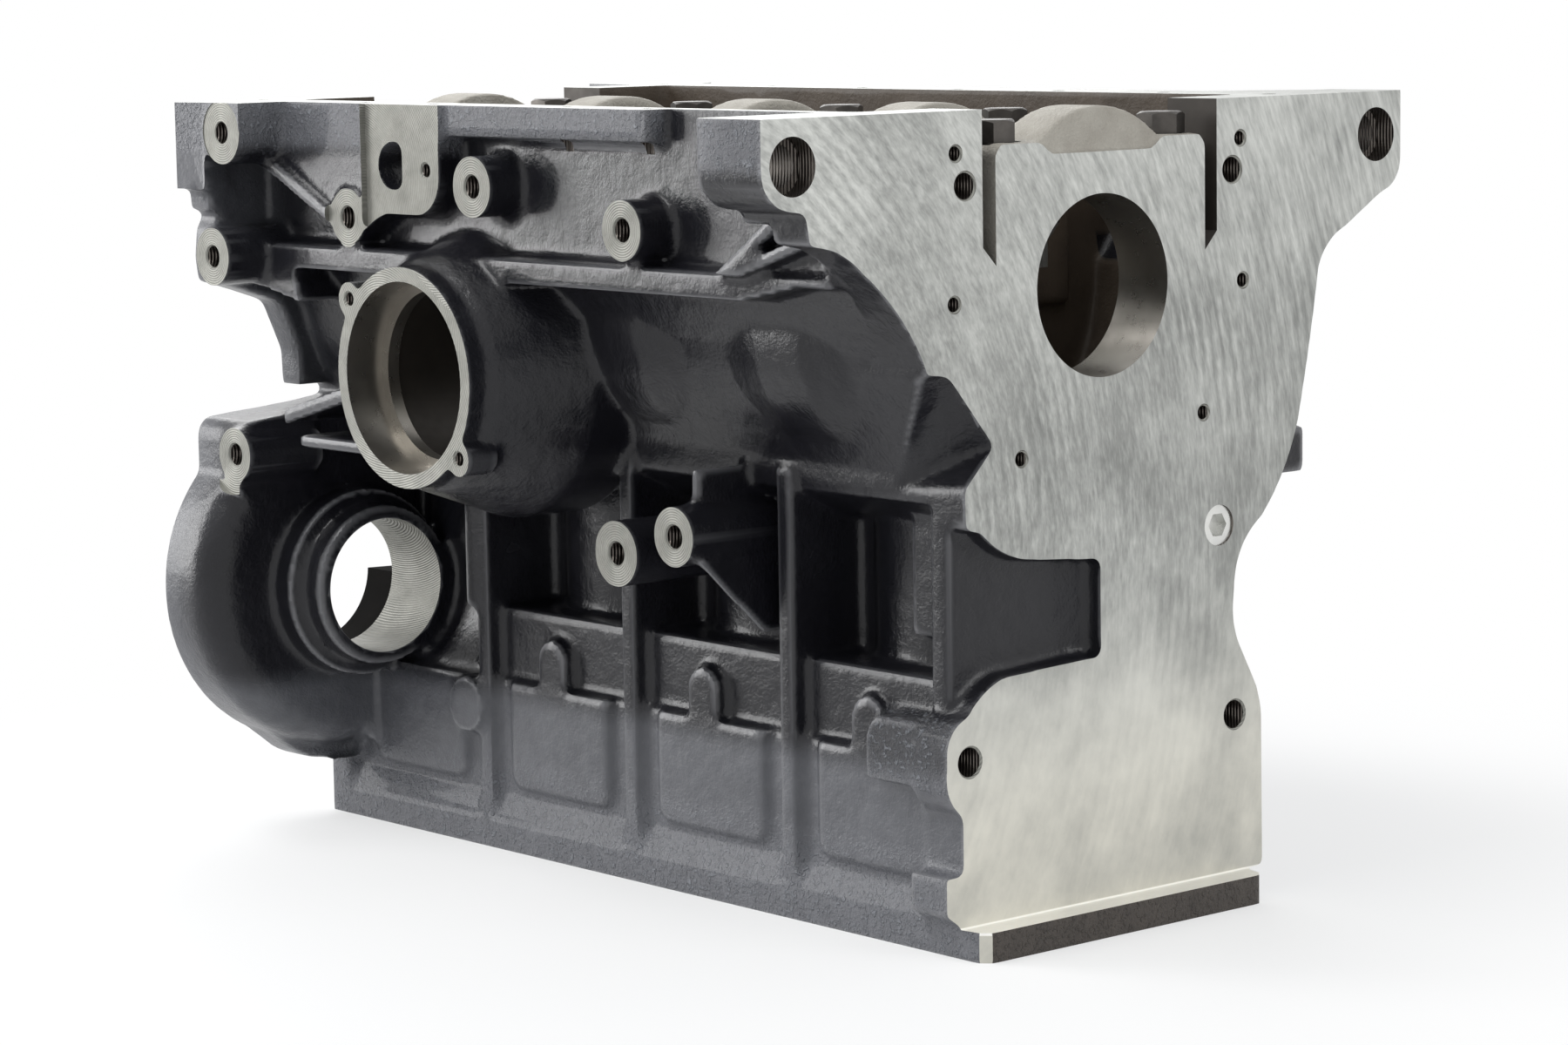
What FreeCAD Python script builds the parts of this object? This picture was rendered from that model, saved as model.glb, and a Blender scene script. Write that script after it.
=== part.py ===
# Bare cast iron block of a four cylinder engine, with its main bearing caps bolted on.
# It stands on its head deck with the oil pan rail up. The origin is the middle of the deck face,
# between cylinders 2 and 3. X runs towards the flywheel end, Y away from the water pump side, Z up.
# All sizes are millimetres. Heights of the crankcase are taken from the crankshaft line.
import math
import os

import FreeCAD, Part
from FreeCAD import Vector

os.makedirs("parts", exist_ok=True)

# Engine layout
cylinders = 4
cylinder_pitch = 90.0
bore_radius = 37.5
crank_height = 227.0
main_bore_radius = 31.85
rail_above_crank = 62.5

# Overall planes
front_x = -193.0
gearbox_face_x = 181.5
deck_rear_x = 193.0
rail_height = crank_height + rail_above_crank

# Head deck and water jacket walls
deck_half_width = 70.0
deck_flange_height = 10.5
deck_edge_height = 9.0
deck_slope_height = 24.0
deck_corner = 3.4
foot_half_width = 64.0
lower_wall = 65.0
lower_wall_top = 66.0
jacket_wall = 62.0
jacket_top = 94.0
barrel_wall_radius = 49.0
rib_reach = 69.0
rib_width = 8.0
panel_half_width = 30.0
panel_bottom = 25.0
panel_reach = 68.5
panel_corner = 6.0
tab_radius = 8.5
tab_height = 76.5
tab_shift = -4.0
tab_reach = 68.0
jacket_front_x = -186.0

# Crankcase
case_floor = crank_height - 77.0
case_barrel_radius = 88.0
case_wall = 7.0
barrel_end_x = 151.0
skirt_wall_outer = 100.0
skirt_wall_inner = 92.0
skirt_rib_bottom = crank_height - 1.5
skirt_rib_top = crank_height + 8.0
skirt_rib_reach = 112.0
rail_flange_bottom = rail_height - 11.5
rail_reach = 110.0
near_rail_end_x = 67.0
dome_reach = 5.0
dome_length = 66.0
dome_radius = 47.0
dome_tilt = 19.5
dome_shift = -23.0
bulkhead_half_width = 7.0
bulkhead_top = crank_height + 35.0
saddle_half_width = 12.0
saddle_radius = 44.0
saddle_drop = 14.0

# Main bearing caps
cap_half_width = 50.9
cap_length = 24.0
cap_shoulder_height = crank_height + 50.0
cap_corner = 3.0
cap_moon_half_width = 29.5
cap_moon_top = crank_height + 62.0
cap_slot_outer = 57.0
cap_slot_bottom_outer = crank_height + 16.0
cap_slot_bottom_inner = crank_height + 9.5
cap_bolt_offset = 41.0
cap_bolt_head_height = 8.5
cap_bolt_across_flats = 15.0

# Gearbox end plate
end_plate_inner_x = 163.0
wing_inner_x = 148.0
wing_half_width = 155.0
pocket_depth = 8.5
gearbox_upper_y = wing_half_width - 13.7
gearbox_upper_z = rail_height - 15.7
gearbox_upper_thread = 7.25
gearbox_lower_y = 65.5
gearbox_lower_z = 68.0
gearbox_lower_thread = 5.1
gearbox_lower_depth = 34.0
gearbox_boss_radius = 11.5
gearbox_boss_length = 42.0
seal_thread = 2.5
seal_depth = 15.0
dowel_radius = 4.5
dowel_depth = 12.0
dowel_y = 65.0
dowel_z = crank_height + 37.2

# Oil gallery
gallery_y = 57.6
gallery_z = crank_height - 89.4
gallery_seat_radius = 7.4
gallery_seat_depth = 9.0
gallery_plug_setback = 0.8
gallery_plug_length = 8.2
gallery_socket_across_flats = 8.0
gallery_socket_depth = 4.0
gallery_boss_radius = 13.0

# Front flange and water pump housing
front_plate_inner_x = -181.0
pump_y = -80.0
pump_z = 99.0
pump_drum_radius = 67.0
pump_drum_inner_x = -162.0
pump_chamber_radius = 50.0
pump_chamber_depth = 22.0
pump_bore_radius = 26.5
pump_boss_radius = 37.0
pump_boss_x = -150.0
pump_neck_radius = 31.5
pump_neck_x = -138.0
pump_clear_radius = 35.0
pump_clear_x = -104.0

# Machined bosses on the pump side
accessory_face_y = -131.0
mount_face_y = -116.0
plate_face_y = -112.0
lower_boss_face_y = -100.0
boss_thread = 4.2
boss_depth = 22.0
plate_boss_depth = 18.0
cover_screw_x = -60.3
cover_screw_z = crank_height + 38.3
cover_screw_thread = 2.5
cover_screw_depth = 12.0

# Round breather opening on the pump side
ring_x = -47.5
ring_z = crank_height - 36.5
ring_face_y = -134.0
ring_outer_radius = 41.0
ring_bore_radius = 35.5
ring_bore_depth = 16.0
ring_throat_radius = 31.5
ring_body_radius = 43.0
ring_body_y = -124.0
ring_flare_radius = 56.0
ring_flare_y = -88.0
ring_ear_x = 33.0
ring_ear_z = 27.5
ring_ear_radius = 6.5
ring_ear_thread = 2.5
ring_ear_depth = 14.0

# Openings in the deck
head_bolt_y = 50.0
head_bolt_radius = 5.6
head_bolt_depth = 78.0
head_bolt_end_x = 170.0
coolant_slot_y = 52.0
coolant_slot_length = 22.0
coolant_slot_width = 8.0
coolant_slot_depth = 60.0

# Core plugs on the far side
core_plug_radius = 16.0
core_plug_z = 52.0
core_plug_face_y = 65.0
core_plug_depth = 3.0
core_plug_recess = 1.5

# Places that follow from the sizes above
bore_x = [(i - (cylinders - 1) / 2) * cylinder_pitch for i in range(cylinders)]
bearing_x = [(i - cylinders / 2) * cylinder_pitch for i in range(cylinders + 1)]
overlap = 1.0


def closed_face(points, place):
    # A point of four numbers is the end of an arc: its first two are a point on the way.
    edges = []
    last = points[-1][-2:]
    for point in points:
        start = place(*last)
        end = place(*point[-2:])
        if len(point) == 4:
            edges.append(Part.Arc(start, place(*point[:2]), end).toShape())
        else:
            edges.append(Part.LineSegment(start, end).toShape())
        last = point[-2:]
    return Part.Face(Part.Wire(edges))


def along_x(points, x0, x1):
    return closed_face(points, lambda y, z: Vector(x0, y, z)).extrude(Vector(x1 - x0, 0, 0))


def along_y(points, y0, y1):
    return closed_face(points, lambda x, z: Vector(x, y0, z)).extrude(Vector(0, y1 - y0, 0))


def along_z(points, z0, z1):
    return closed_face(points, lambda x, y: Vector(x, y, z0)).extrude(Vector(0, 0, z1 - z0))


def box(x0, x1, y0, y1, z0, z1):
    return Part.makeBox(x1 - x0, y1 - y0, z1 - z0, Vector(x0, y0, z0))


def rod_x(y, z, radius, x0, x1):
    return Part.makeCylinder(radius, x1 - x0, Vector(x0, y, z), Vector(1, 0, 0))


def rod_y(x, z, radius, y0, y1):
    return Part.makeCylinder(radius, y1 - y0, Vector(x, y0, z), Vector(0, 1, 0))


def rod_z(x, y, radius, z0, z1):
    return Part.makeCylinder(radius, z1 - z0, Vector(x, y, z0), Vector(0, 0, 1))


def joined(shapes):
    return shapes[0].multiFuse(shapes[1:]).removeSplitter()


def mirrored(shape):
    return shape.mirror(Vector(0, 0, 0), Vector(0, 1, 0))


def from_crank(points):
    # Adds the height of the crankshaft line to every height of an outline.
    return [tuple(n + crank_height * (i % 2) for i, n in enumerate(point)) for point in points]


def hexagon(across_flats):
    corner = across_flats / math.sqrt(3)
    return [(corner * math.cos(math.radians(60 * i)), corner * math.sin(math.radians(60 * i)))
            for i in range(6)]


def blind_hole(mouth, direction, radius, depth):
    # A drilled hole that starts a little outside the face it opens in.
    return Part.makeCylinder(radius, depth + overlap, mouth - direction * overlap, direction)


# Outline of the machined gearbox face, looking along X. The pump side is first.
near_foot = [
    (-foot_half_width, deck_flange_height - overlap),
    (-71.0, 11.7), (-77.0, 15.6), (-77.0, 28.8), (-69.0, 28.8), (-69.0, 49.5),
    (-75.5, 57.0, -76.1, 68.0), (-75.0, 77.0, -66.5, 83.6),
]
w = wing_half_width
near_case = from_crank([
    (-66.5, -71.5), (-67.0, -65.6), (-67.0, -61.0), (-84.0, -27.0), (-84.0, -22.7),
    (-94.5, -6.0, -111.0, 10.0), (-118.0, 15.5, -125.0, 18.9), (-w + 20.7, 20.5), (-w + 18.7, 31.6),
    (-w + 12.0, 32.2), (-w + 4.0, 36.0, -w, 45.0), (-w, rail_above_crank),
])
case_turn = crank_height - 88.3
waist = jacket_top + 0.145 * (crank_height - jacket_top)
far_case = from_crank([
    (w, rail_above_crank), (w, 37.0), (w - 3.0, 30.0, w - 10.6, 25.7), (w - 30.6, 13.9),
    (115.0, 8.0, 110.3, 0.2), (106.0, -24.0, 99.2, -54.8), (90.0, -75.0, 79.7, case_turn - crank_height),
])
far_foot = [
    (68.0, (case_turn + waist) / 2, 65.5, waist), (66.0, jacket_top + 4, 69.9, jacket_top - 4),
    (77.2, 76.6), (79.5, 68.0), (80.0, 10.8), (foot_half_width, deck_flange_height - overlap),
]
end_outline = near_foot + near_case + far_case + far_foot

# Deck flange, which reaches past the gearbox face, with its corners taken off
c = deck_corner
deck = along_z([
    (front_x, -deck_half_width), (deck_rear_x - c, -deck_half_width), (deck_rear_x, -deck_half_width + c),
    (deck_rear_x, deck_half_width - c), (deck_rear_x - c, deck_half_width), (front_x, deck_half_width),
], 0, deck_flange_height)

# Jacket walls: a sloped foot above the deck, the lower wall, and the upper wall
jacket_section = [
    (-deck_half_width, 0), (-deck_half_width, deck_edge_height), (-foot_half_width, deck_slope_height),
    (-lower_wall, deck_slope_height), (-lower_wall, lower_wall_top), (-jacket_wall, lower_wall_top),
    (-jacket_wall, jacket_top), (jacket_wall, jacket_top), (jacket_wall, lower_wall_top),
    (lower_wall, lower_wall_top), (lower_wall, deck_slope_height), (foot_half_width, deck_slope_height),
    (deck_half_width, deck_edge_height), (deck_half_width, 0),
]
jacket = along_x(jacket_section, front_x, end_plate_inner_x + overlap)

# Cylinder barrels between the jacket and the crankcase, joined by a straight middle
barrels = [rod_z(x, 0, barrel_wall_radius, jacket_top - overlap, case_floor + 10) for x in bore_x[:-1]]
barrels.append(rod_z(bore_x[-1], 0, barrel_wall_radius, jacket_top - overlap, case_floor + 10).common(
    box(0, end_plate_inner_x + overlap, -100, 100, 0, case_floor + 20)))
barrels.append(box(bore_x[0], end_plate_inner_x + overlap, -36, 36, jacket_top - overlap, case_floor + 10))
barrels.append(box(jacket_front_x, bore_x[0], -30, 30, jacket_top - overlap, case_floor + 10))
rear_passage = box(143, end_plate_inner_x + overlap, -57, -20, 107, case_floor + 5)

# Raised panels, upright ribs and round topped tabs on the pump side, ribs on the far side
side_details = []
far_details = []
k = panel_corner * (1 - math.sqrt(0.5))
for x in bore_x:
    x0 = x - panel_half_width
    x1 = x + panel_half_width
    side_details.append(along_y([
        (x0, lower_wall_top), (x0, panel_bottom + panel_corner),
        (x0 + k, panel_bottom + k, x0 + panel_corner, panel_bottom), (x1 - panel_corner, panel_bottom),
        (x1 - k, panel_bottom + k, x1, panel_bottom + panel_corner), (x1, lower_wall_top),
    ], -panel_reach, -lower_wall + overlap))
for x in bore_x[1:]:
    middle = x + tab_shift
    side_details.append(along_y([
        (middle - tab_radius, lower_wall_top - overlap), (middle + tab_radius, lower_wall_top - overlap),
        (middle + tab_radius, tab_height),
        (middle, tab_height + tab_radius, middle - tab_radius, tab_height),
    ], -tab_reach, -jacket_wall + overlap))
for x in bearing_x[1:-1]:
    side_details.append(box(x - rib_width / 2, x + rib_width / 2, -rib_reach, -20, deck_edge_height,
                            case_floor + 12))
    far_details.append(mirrored(side_details[-1]))

# Crankcase floor and skirts, the same along the block
case_section = from_crank([
    (-48, -81), (-60, -75), (-66.5, -71.5), (-67.0, -65.6), (-67.0, -61.0), (-84.0, -27.0), (-84.0, -22.7),
    (-94, -6.0), (-skirt_wall_outer, 7), (-skirt_wall_outer, rail_above_crank),
    (skirt_wall_outer, rail_above_crank), (skirt_wall_outer, 9), (106, 0), (103.0, -24.0, 96.0, -54.8),
    (86.0, -75.0, 75.0, -88.3), (63, -101, 48, -107),
])
case = along_x(case_section, front_x, end_plate_inner_x + overlap)

# Skirt rib and oil pan rail flange on both sides
rib_front_x = front_x + 21
trim = [
    along_y([(rib_front_x, skirt_rib_bottom), (121, skirt_rib_bottom), (147, skirt_rib_top - 4),
             (end_plate_inner_x + overlap, skirt_rib_top - 4), (end_plate_inner_x + overlap, skirt_rib_top),
             (rib_front_x, skirt_rib_top)], -skirt_rib_reach, -90),
    box(front_x, near_rail_end_x, -rail_reach, -90, rail_flange_bottom, rail_height),
    box(front_x, wing_inner_x + overlap, 90, rail_reach + 10, rail_flange_bottom, rail_height),
    box(front_x + 13, wing_inner_x + overlap, 90, skirt_rib_reach, skirt_rib_bottom, skirt_rib_top),
]

# The crankcase swells into a barrel round the crankshaft, between the front and rear walls
barrel_slice = box(front_x + overlap, barrel_end_x, -120, 120, crank_height - 64, crank_height - 1)
bulges = [rod_x(0, crank_height, case_barrel_radius, front_x, gearbox_face_x).common(barrel_slice)]

# Shallow domes on the barrel outside the crank throws, turned about lines inside it
dome_line = case_barrel_radius + dome_reach - dome_radius
dome_angle = math.radians(dome_tilt)
dome_start = dome_radius - dome_reach
domes = []
for x in bore_x[2:]:
    axis = Vector(x + dome_shift, -dome_line * math.cos(dome_angle),
                  crank_height - dome_line * math.sin(dome_angle))
    half = Vector(dome_length / 2, 0, 0)
    rim = Vector(0, 0, dome_start)
    crown = Vector(dome_length / 6, 0, 0)
    top = Vector(0, 0, dome_radius)
    profile = [axis - half, axis - half + rim, axis - crown + top, axis + crown + top, axis + half + rim,
               axis + half, axis - half]
    domes.append(Part.Face(Part.makePolygon(profile)).revolve(axis, Vector(1, 0, 0), 360))

# Gearbox end plate, its thick wings and what stands behind the lower bolts
end_plate = along_x(end_outline, end_plate_inner_x, gearbox_face_x)
wing_slab = along_x(end_outline, wing_inner_x, gearbox_face_x)
wings = [
    wing_slab.common(box(wing_inner_x, gearbox_face_x, -w - 5, -100, crank_height + 27, rail_height)),
    wing_slab.common(box(wing_inner_x, gearbox_face_x, 100, w + 5, crank_height + 8, rail_height)),
]
lower_pad = along_y([
    (139, 58), (end_plate_inner_x + overlap, 58), (end_plate_inner_x + overlap, 81), (147, 81),
    (141.3, 78.7, 139, 73),
], -75.5, -jacket_wall)
lower_boss = rod_x(gearbox_lower_y, gearbox_lower_z, gearbox_boss_radius,
                   gearbox_face_x - gearbox_boss_length, gearbox_face_x)

# Gusset under the pump side wing: two sloping fins that meet at the skirt rib, on a thin web
gusset = [
    along_y(from_crank([(110, 7), (118, 7), (152, 29), (142, 29)]), -118, -96),
    along_y(from_crank([(112, 7), (124, 7), (end_plate_inner_x + overlap, 20),
                        (end_plate_inner_x + overlap, 25)]), -118, -96),
    along_y(from_crank([(112, 7), (end_plate_inner_x + overlap, 7), (end_plate_inner_x + overlap, 29),
                        (145, 29)]), -109, -96),
]
far_gusset = along_z([(96, 104), (wing_inner_x + overlap, w - 5), (wing_inner_x + overlap, 100)],
                     rail_flange_bottom, rail_height)
starter_pad = box(138, gearbox_face_x - 6, 80, 110, crank_height - 75, crank_height - 58)

# Front flange with its accessory pads, looking along X
front_outline = from_crank([
    (-88.5, -51.0), (-89.0, -37.0), (-97.5, -17.0), (-113.0, -11.7), (-126.7, -7.5), (-128.0, 2.0),
    (-126.7, 13.0), (-122.4, 20.4), (-129.0, 20.7), (-129.0, rail_above_crank), (129.0, rail_above_crank),
    (129.0, 29.0), (122.0, 20.4), (112.0, -5.0), (97.5, -17.0), (90.0, -47.0), (84.0, -75.0),
]) + [
    (66.0, waist + 9), (66.0, 100.0), (70.0, 80.0), (70.0, 0), (-70.0, 0), (-70.0, 24.0), (-60.0, 24.0),
    (-60.0, crank_height - 51.0),
]
front_plate = along_x(front_outline, front_x, front_plate_inner_x)
corner_pad = box(front_x, front_x + 13, -136, -120, rail_height - 33.5, rail_height)
front_lug = box(front_x - 34, front_x + overlap, 96, 122, rail_height - 17.5, rail_height)

# Water pump housing: drum, square block round the upper boss, lower tab, boss and neck
drum = rod_x(pump_y, pump_z, pump_drum_radius, front_x, pump_drum_inner_x)
pump_block = along_x([
    (-60, 120), (-129.5, 120), (-129.5, 158), (-127.0, 164.0, -121, 166), (-89, 168.5), (-60, 172),
], front_x, pump_drum_inner_x)
pump_tab = along_x([(-119, 46), (-98.7, 29.8), (-94, 27.4, -82, 25.6), (-60, 25.0), (-60, 60)],
                   front_x, front_x + 24)
pump_boss = rod_x(pump_y, pump_z, pump_boss_radius, pump_drum_inner_x - overlap, pump_boss_x)
pump_neck = rod_x(pump_y, pump_z, pump_neck_radius, pump_boss_x - overlap, pump_neck_x)
pump_column = box(-100, -92, -70, -40, jacket_top - overlap, case_floor + 12)

# Breather ring with two ears, a flared body behind it and two ribs towards the pump housing
ring = [
    rod_y(ring_x, ring_z, ring_outer_radius, ring_face_y, ring_body_y + overlap),
    Part.makeCone(ring_body_radius, ring_flare_radius, ring_flare_y - ring_body_y,
                  Vector(ring_x, ring_body_y, ring_z), Vector(0, 1, 0)),
    rod_y(ring_x, ring_z, ring_flare_radius, ring_flare_y, -60),
]
ring_ears = [(ring_x - ring_ear_x, ring_z + ring_ear_z), (ring_x + ring_ear_x, ring_z - ring_ear_z)]
for x, z in ring_ears:
    ring.append(rod_y(x, z, ring_ear_radius, ring_face_y, ring_face_y + 14))
ring_ribs = [
    along_y(from_crank([(-142, -61), (-142, -55), (-86, -40), (-86, -46)]), -124, -80),
    box(-134, -80, -122, -60, crank_height - 69.5, crank_height - 64.5),
]

# Machined bosses: place along the block, height, face, radius, how far back they run, thread depth
bosses = [
    (-26.6, crank_height + 33.3, mount_face_y, 11.4, -96, boss_depth),
    (60.3, crank_height + 20.6, mount_face_y, 10.9, -96, boss_depth),
    (-111.2, crank_height + 19.2, plate_face_y, 10.8, -96, plate_boss_depth),
    (-167.6, crank_height + 51.0, accessory_face_y, 12.4, -96, boss_depth),
    (-176.0, crank_height + 2.8, accessory_face_y, 11.4, -96, boss_depth),
    (-164.7, 153.1, accessory_face_y, 10.6, -96, boss_depth),
    (33.3, crank_height - 97.5, lower_boss_face_y, 12.1, -40, boss_depth),
    (66.2, crank_height - 88.5, lower_boss_face_y, 10.9, -40, boss_depth),
]
boss_solids = [rod_y(x, z, radius, face, root).common(box(front_x, gearbox_face_x, -200, 0, 0, rail_height))
               for x, z, face, radius, root, depth in bosses]
boss_solids.append(box(-180, -155.2, accessory_face_y, -100, crank_height + 51, rail_height))

# Wall beside the upper boss, its sloping fin to the plate, and the gusset under the lower boss
boss_solids.append(along_y(from_crank([
    (-160, 41), (-118, 20), (-98, 20), (-98, rail_above_crank), (-160, rail_above_crank),
]), -rail_reach, -96))
boss_solids.append(along_y(from_crank([(-172, 40), (-118, 15), (-118, 20), (-162, 42)]), -rail_reach - 4, -96))
boss_solids.append(along_y(from_crank([(-186, -2), (-180, -8), (-145, -15), (-150, 2)]), -112, -90))

# Flat machined plate beside the rail, with the web behind it
cover_plate = along_y(from_crank([
    (-100.5, 24), (-104, 15), (-99, 15.5), (-94, 18.5, -86, 21.5), (-66, 21.5),
    (-56.0, 26.0, -52, 37), (-52, rail_above_crank), (-100.5, rail_above_crank),
]), plate_face_y, -96)

# Thin gussets above and below the second of the two lower bosses
gusset_x = 74.0
gusset_thickness = 3.0
boss_ribs = [
    box(gusset_x - 8, gusset_x - 4, -92, -40, crank_height - 82, case_floor + 12),
    along_x([(-98, crank_height - 96), (-rib_reach + 2, crank_height - 126), (-40, crank_height - 126),
             (-40, crank_height - 96)], gusset_x, gusset_x + gusset_thickness),
]
round_boss = rod_y(-99, 55, 11, -72, -55)

# Bearing bulkheads across the crankcase, with a thicker saddle round the crankshaft
saddles = []
for x in bearing_x[1:-1]:
    saddles.append(rod_x(0, crank_height, saddle_radius, x - saddle_half_width, x + saddle_half_width))
    saddles.append(box(x - saddle_half_width, x + saddle_half_width, -cap_slot_outer - 6, cap_slot_outer + 6,
                       crank_height - saddle_drop, bulkhead_top))

# Far side mount bosses
far_bosses = [(-120, crank_height - 22, 122, 12), (-60, crank_height - 22, 122, 12)]
far_solids = [rod_y(x, z, radius, 80, face) for x, z, face, radius in far_bosses]
gallery_wall = rod_x(gallery_y, gallery_z, gallery_boss_radius, front_x, gearbox_face_x - overlap)

block = joined(
    [deck, jacket] + barrels + [rear_passage] + side_details + far_details + [case] + trim + bulges + domes
    + [end_plate] + wings + [lower_pad, lower_boss] + gusset + [far_gusset, starter_pad]
    + [front_plate, corner_pad, front_lug, drum, pump_block, pump_tab, pump_boss, pump_neck, pump_column]
    + ring + ring_ribs + boss_solids + [cover_plate] + boss_ribs + [round_boss] + far_solids + [gallery_wall]
)

# Crankcase bays between the bulkheads, open to the pan rail, round the saddles
bays = []
bay_ends = [front_x + cap_length]
bay_ends += [x for b in bearing_x[1:-1] for x in (b - bulkhead_half_width, b + bulkhead_half_width)]
bay_ends.append(gearbox_face_x - cap_length)
for i in range(cylinders):
    bay_start = bay_ends[2 * i]
    bay_end = bay_ends[2 * i + 1]
    bays.append(box(bay_start, bay_end, -skirt_wall_inner, skirt_wall_inner, crank_height + 13, rail_height + 1))
    bays.append(rod_x(0, crank_height, case_barrel_radius - case_wall, bay_start, bay_end))
    bays.append(along_x([(-70, crank_height - 13), (70, crank_height - 13), (skirt_wall_inner, crank_height + 14),
                         (-skirt_wall_inner, crank_height + 14)], bay_start, bay_end))
for x in bearing_x[1:-1]:
    bays.append(box(x - saddle_half_width - 1, x + saddle_half_width + 1, -skirt_wall_inner, skirt_wall_inner,
                    bulkhead_top, rail_height + 1))
cuts = [bays[0].multiFuse(bays[1:]).cut(saddles)]

# Cylinder bores, the gap that each cap stands in, and the main bore
for x in bore_x:
    cuts.append(rod_z(x, 0, bore_radius, -1, case_floor + 8))
cap_gap = [
    (-cap_half_width, crank_height), (-cap_half_width, cap_slot_bottom_inner),
    (-cap_slot_outer, cap_slot_bottom_outer), (-cap_slot_outer, rail_height + 1),
    (cap_slot_outer, rail_height + 1), (cap_slot_outer, cap_slot_bottom_outer),
    (cap_half_width, cap_slot_bottom_inner), (cap_half_width, crank_height),
]
cuts.append(along_x(cap_gap, front_x - 1, gearbox_face_x + 1))
cuts.append(rod_x(0, crank_height, main_bore_radius, front_x - 1, gearbox_face_x + 1))

# Rough pocket in the gearbox face, open towards the pump side
pocket = along_x(from_crank([
    (-90, -79.5), (-65.6, -79.5), (-59.8, -80.5), (-50.0, -88.0, -33.5, -92.5), (-7.0, -95.0),
    (-3.0, -96.0, -2.4, -100.0),
]) + [
    (-2.4, 102.0), (-3.0, 98.0, -7.0, 97.2), (-48.8, 95.4), (-58.0, 91.5, -66.5, 83.6), (-90, 83.6),
], gearbox_face_x - pocket_depth, gearbox_face_x + 1)
cuts.append(pocket)

# Sloping notch in the pump side edge of the gearbox face. It runs out into the crankcase wall.
notch_tip = Vector(144, -67.0, crank_height - 68.5)
notch_mouth = [Vector(gearbox_face_x, y, z) for y, z in from_crank([
    (-52.0, -50.5), (-73.9, -23.9), (-110.0, -23.9), (-110.0, -65.6), (-67.0, -65.6),
])]
notch_sides = [Part.Face(Part.makePolygon([notch_mouth[i - 1], notch_mouth[i], notch_tip, notch_mouth[i - 1]]))
               for i in range(len(notch_mouth))]
notch_end = Part.Face(Part.makePolygon(notch_mouth + [notch_mouth[0]]))
cuts.append(Part.makeSolid(Part.makeShell(notch_sides + [notch_end])))

# Gearbox bolt holes, seal carrier threads and dowel holes in the gearbox face
inward = Vector(-1, 0, 0)
for side in (-1, 1):
    upper = Vector(gearbox_face_x, side * gearbox_upper_y, gearbox_upper_z)
    cuts.append(blind_hole(upper, inward, gearbox_upper_thread, gearbox_face_x - wing_inner_x + 20))
    lower = Vector(gearbox_face_x, side * gearbox_lower_y, gearbox_lower_z)
    cuts.append(blind_hole(lower, inward, gearbox_lower_thread, gearbox_lower_depth))
    cuts.append(blind_hole(Vector(gearbox_face_x, side * dowel_y, dowel_z), inward, dowel_radius, dowel_depth))
seal_holes = from_crank([(-69.2, 48.2), (69.2, 48.2), (-70.4, -2.4), (70.4, -2.4), (50.0, -48.3), (-39.8, -57.2)])
for y, z in seal_holes:
    cuts.append(blind_hole(Vector(gearbox_face_x, y, z), inward, seal_thread, seal_depth))

# Plug seats at both ends of the oil gallery
outward = -inward
for x, out in ((gearbox_face_x, inward), (front_x, outward)):
    cuts.append(blind_hole(Vector(x, gallery_y, gallery_z), out, gallery_seat_radius, gallery_seat_depth))

# Water pump chamber, its bore, and the clear space round the neck
cuts.append(rod_x(pump_y, pump_z, pump_chamber_radius, front_x - 1, front_x + pump_chamber_depth))
cuts.append(rod_x(pump_y, pump_z, pump_bore_radius, front_x, pump_neck_x + overlap))
cuts.append(rod_x(pump_y, pump_z, pump_clear_radius, pump_neck_x, pump_clear_x))

# Stepped bore of the breather ring, open to the crankcase
cuts.append(rod_y(ring_x, ring_z, ring_bore_radius, ring_face_y - 1, ring_face_y + ring_bore_depth))
cuts.append(rod_y(ring_x, ring_z, ring_throat_radius, ring_face_y, -60).common(
    box(bearing_x[1] + saddle_half_width, bearing_x[2] - bulkhead_half_width, -140, -50, 100, 300)))
away = Vector(0, 1, 0)
for x, z in ring_ears:
    cuts.append(blind_hole(Vector(x, ring_face_y, z), away, ring_ear_thread, ring_ear_depth))

# Threads in the machined bosses and the two openings in the flat plate
for x, z, face, radius, root, depth in bosses:
    cuts.append(blind_hole(Vector(x, face, z), away, boss_thread, depth))
for x, z, face, radius in far_bosses:
    cuts.append(blind_hole(Vector(x, face, z), -away, boss_thread, boss_depth))
cuts.append(along_y(from_crank([(-77, 30.6), (-75, 32.6), (-75, 46.5), (-77, 48.5), (-81, 48.5),
                                (-90, 39.5, -81, 30.6)]), plate_face_y - 1, -80))
cuts.append(blind_hole(Vector(cover_screw_x, plate_face_y, cover_screw_z), away, cover_screw_thread,
                       cover_screw_depth))

# Head bolt holes and coolant slots in the deck
up = Vector(0, 0, 1)
head_bolts = [(max(-head_bolt_end_x, min(head_bolt_end_x, x)), side * head_bolt_y)
              for x in bearing_x for side in (-1, 1)]
for x, y in head_bolts:
    cuts.append(blind_hole(Vector(x, y, 0), up, head_bolt_radius, head_bolt_depth))
for x in bore_x:
    for side in (-1, 1):
        y = side * coolant_slot_y
        cuts.append(box(x - coolant_slot_length / 2, x + coolant_slot_length / 2, y - coolant_slot_width / 2,
                        y + coolant_slot_width / 2, -1, coolant_slot_depth))

# Core plug bores in the far jacket wall
for x in bore_x:
    cuts.append(blind_hole(Vector(x, core_plug_face_y, core_plug_z), -away, core_plug_radius,
                           core_plug_recess + core_plug_depth))

block = block.cut(cuts[0].multiFuse(cuts[1:])).removeSplitter()
block.exportStep("parts/cylinder_block.step")

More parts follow.
